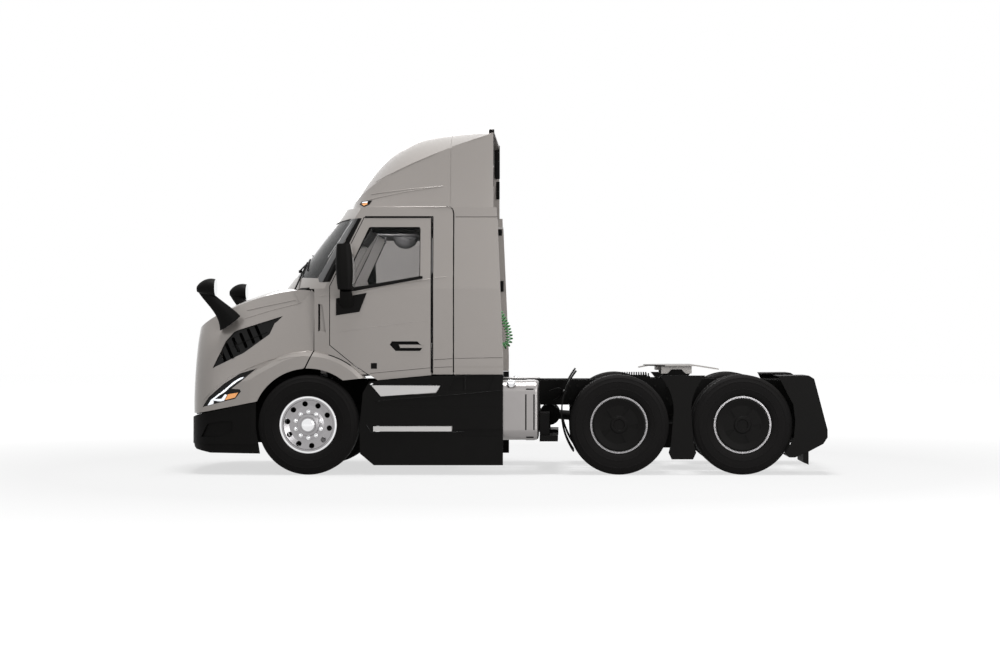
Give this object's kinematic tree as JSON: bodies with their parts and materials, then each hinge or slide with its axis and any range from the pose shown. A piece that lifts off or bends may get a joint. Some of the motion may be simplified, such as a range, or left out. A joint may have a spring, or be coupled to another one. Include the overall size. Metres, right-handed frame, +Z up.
{
  "type": "semi truck tractor unit",
  "caption": "Day-cab road tractor with a tilting hood, hinged doors, steered front wheels, dual-tyred driven rear wheels and a rocking fifth-wheel coupling.",
  "frame": {"origin": "on the ground under the middle of the overall box", "axes": "+X forward, +Y to the driver's left, +Z up"},
  "size_m": [6.78, 2.9558, 3.7449],
  "materials": {
    "body_paint": "semi-gloss taupe",
    "black_plastic": "grained",
    "frame_paint": "satin black",
    "clear_glass": "tinted",
    "tread_rubber": "matt",
    "wheel_alloy": "polished",
    "tank_alloy": "brushed",
    "cast_steel": "rough",
    "interior_trim": "soft grey",
    "seat_cloth": "woven",
    "lamp_lens": "clear lens",
    "cable_jacket": "green"
  },
  "bodies": {
    "chassis": {"air_tanks": "black_plastic", "bumper": "black_plastic", "cab_back": "body_paint", "cab_floor": "interior_trim", "cab_front": "body_paint", "cab_glass": "clear_glass", "cab_roof": "body_paint", "cab_sides": "body_paint", "center_fairings": "black_plastic", "coil_cord": "cable_jacket", "cowl": "black_plastic", "crossmembers": "frame_paint", "dashboard": "interior_trim", "drive_axles": "cast_steel", "engine_block": "cast_steel", "fifth_wheel_base": "cast_steel", "frame_rails": "frame_paint", "front_axle": "cast_steel", "fuel_tanks": "tank_alloy", "lamps": "lamp_lens", "line_bracket": "frame_paint", "quarter_fenders": "black_plastic", "rear_fenders": "black_plastic", "roof_fairing": "body_paint", "seats": "seat_cloth", "side_extenders": "body_paint", "skirts": "black_plastic", "steps": "tank_alloy", "suspension": "cast_steel"},
    "hood": {"hood": "body_paint", "grille": "black_plastic", "headlamps": "lamp_lens", "hood_mirrors": "black_plastic"},
    "left_door": {"door_left": "body_paint", "door_glass_left": "clear_glass", "mirror_left": "black_plastic"},
    "right_door": {"door_right": "body_paint", "door_glass_right": "clear_glass", "mirror_right": "black_plastic"},
    "fifth_wheel": {"fifth_wheel_plate": "cast_steel"},
    "left_knuckle": {"knuckle_left": "cast_steel"},
    "right_knuckle": {"knuckle_right": "cast_steel"},
    "tie_rod": {"tie_rod": "cast_steel"},
    "front_left_wheel": {"tyre_front_left": "tread_rubber", "rim_front_left": "wheel_alloy"},
    "front_right_wheel": {"tyre_front_right": "tread_rubber", "rim_front_right": "wheel_alloy"},
    "drive_left_wheels": {"tyres_rear_1_left": "tread_rubber", "rims_rear_1_left": "wheel_alloy"},
    "drive_right_wheels": {"tyres_rear_1_right": "tread_rubber", "rims_rear_1_right": "wheel_alloy"},
    "tag_left_wheels": {"tyres_rear_2_left": "tread_rubber", "rims_rear_2_left": "wheel_alloy"},
    "tag_right_wheels": {"tyres_rear_2_right": "tread_rubber", "rims_rear_2_right": "wheel_alloy"}
  },
  "joints": [
    {"name": "hood_tilt", "type": "hinge", "parent": "chassis", "child": "hood", "pos_m": [3.352, 0, 0.612], "axis": [0, 1, 0], "range_deg": [0, 60]},
    {"name": "left_door_hinge", "type": "hinge", "parent": "chassis", "child": "left_door", "pos_m": [1.834, 1.152, 1.5], "axis": [0, 0, -1], "range_deg": [0, 70]},
    {"name": "right_door_hinge", "type": "hinge", "parent": "chassis", "child": "right_door", "pos_m": [1.834, -1.152, 1.5], "axis": [0, 0, 1], "range_deg": [0, 70]},
    {"name": "fifth_wheel_tilt", "type": "hinge", "parent": "chassis", "child": "fifth_wheel", "pos_m": [-1.8565, 0, 1.062], "axis": [0, 1, 0], "range_deg": [-12, 12]},
    {"name": "left_steer", "type": "hinge", "parent": "chassis", "child": "left_knuckle", "pos_m": [2.043, 0.88, 0.5], "axis": [0, 0, 1], "range_deg": [-35, 35]},
    {"name": "right_steer", "type": "hinge", "parent": "chassis", "child": "right_knuckle", "pos_m": [2.043, -0.88, 0.5], "axis": [0, 0, 1], "range_deg": [-35, 35]},
    {"name": "tie_rod_swing", "type": "hinge", "parent": "left_knuckle", "child": "tie_rod", "pos_m": [1.813, 0.88, 0.4], "axis": [0, 0, 1], "range_deg": [-35, 35]},
    {"name": "front_left_spin", "type": "hinge", "parent": "left_knuckle", "child": "front_left_wheel", "pos_m": [2.043, 1.08, 0.523], "axis": [0, 1, 0], "continuous": true},
    {"name": "front_right_spin", "type": "hinge", "parent": "right_knuckle", "child": "front_right_wheel", "pos_m": [2.043, -1.08, 0.523], "axis": [0, 1, 0], "continuous": true},
    {"name": "drive_left_spin", "type": "hinge", "parent": "chassis", "child": "drive_left_wheels", "pos_m": [-1.21, 0.9, 0.523], "axis": [0, 1, 0], "continuous": true},
    {"name": "drive_right_spin", "type": "hinge", "parent": "chassis", "child": "drive_right_wheels", "pos_m": [-1.21, -0.9, 0.523], "axis": [0, 1, 0], "continuous": true},
    {"name": "tag_left_spin", "type": "hinge", "parent": "chassis", "child": "tag_left_wheels", "pos_m": [-2.503, 0.9, 0.523], "axis": [0, 1, 0], "continuous": true},
    {"name": "tag_right_spin", "type": "hinge", "parent": "chassis", "child": "tag_right_wheels", "pos_m": [-2.503, -0.9, 0.523], "axis": [0, 1, 0], "continuous": true}
  ],
  "couplings": [
    {"joint": "right_steer", "follows": "left_steer", "ratio": 1},
    {"joint": "tie_rod_swing", "follows": "left_steer", "ratio": -1}
  ]
}
